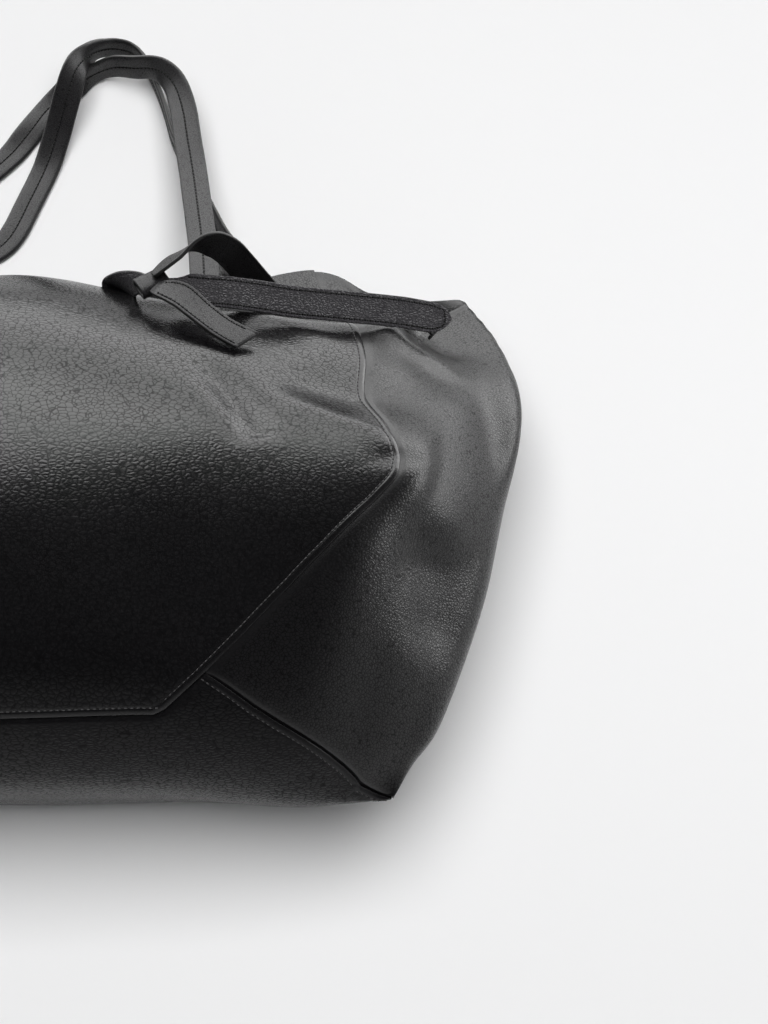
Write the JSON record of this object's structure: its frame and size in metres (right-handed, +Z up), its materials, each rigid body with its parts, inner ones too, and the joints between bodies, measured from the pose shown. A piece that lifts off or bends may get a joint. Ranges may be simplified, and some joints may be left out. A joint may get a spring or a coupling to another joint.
{
  "type": "tote bag",
  "caption": "Soft leather tote bag lying on its back, with panels, side gussets, a soft base, lining, shoulder handles and knotted tie straps at the mouth.",
  "frame": {"origin": "on the resting surface, under the middle of the back panel, on the bag's centre line", "axes": "+X to the bag's right side as it is seen from the base, +Y from the base to the mouth and handles, +Z up from the surface to the front panel"},
  "size_m": [0.5528, 0.5343, 0.165],
  "materials": {
    "leather": "grained near-black leather",
    "strap": "grained near-black leather with painted edges",
    "lining": "dark suede-like lining"
  },
  "bodies": {
    "root": {"front_panel": "leather", "back_panel": "leather", "base": "leather", "right_gusset": "leather", "left_gusset": "leather", "front_facing": "leather", "back_facing": "leather", "right_front_handle_end": "strap", "left_front_handle_end": "strap", "right_back_handle_end": "strap", "left_back_handle_end": "strap", "right_front_tie": "strap", "left_front_tie": "strap", "right_back_tie": "strap", "left_back_tie": "strap", "right_tie_knot": "strap", "left_tie_knot": "strap", "right_gusset_tab": "strap", "left_gusset_tab": "strap", "front_panel_lining": "lining", "back_panel_lining": "lining", "base_lining": "lining", "right_gusset_lining": "lining", "left_gusset_lining": "lining", "inner_pocket": "lining"},
    "front_handle_loop": {"front_handle": "strap"},
    "back_handle_loop": {"back_handle": "strap"},
    "right_long_end": {"right_tie_end": "strap"},
    "left_long_end": {"left_tie_end": "strap"},
    "right_short_end": {"right_tie_tail": "strap"},
    "left_short_end": {"left_tie_tail": "strap"}
  },
  "joints": [
    {"name": "front_handle_swing", "type": "hinge", "parent": "root", "child": "front_handle_loop", "pos_m": [0, 0.14199, 0.045], "axis": [1, 0, 0], "range_deg": [0, 60]},
    {"name": "back_handle_swing", "type": "hinge", "parent": "root", "child": "back_handle_loop", "pos_m": [0, 0.14199, 0.045], "axis": [1, 0, 0], "range_deg": [0, 60]},
    {"name": "right_tie_end_lift", "type": "hinge", "parent": "root", "child": "right_long_end", "pos_m": [0.12072, 0.10153, 0.12183], "axis": [0, -0.9023, -0.4311], "range_deg": [0, 50]},
    {"name": "left_tie_end_lift", "type": "hinge", "parent": "root", "child": "left_long_end", "pos_m": [-0.12072, 0.10153, 0.12183], "axis": [0, 0.9023, 0.4311], "range_deg": [0, 50]},
    {"name": "right_tie_tail_lift", "type": "hinge", "parent": "root", "child": "right_short_end", "pos_m": [0.08141, 0.09848, 0.13045], "axis": [-0.6508, -0.7593, 0], "range_deg": [0, 60]},
    {"name": "left_tie_tail_lift", "type": "hinge", "parent": "root", "child": "left_short_end", "pos_m": [-0.08141, 0.09848, 0.13045], "axis": [-0.6508, 0.7593, 0], "range_deg": [0, 60]}
  ],
  "couplings": [
    {"joint": "back_handle_swing", "follows": "front_handle_swing", "ratio": 1}
  ]
}
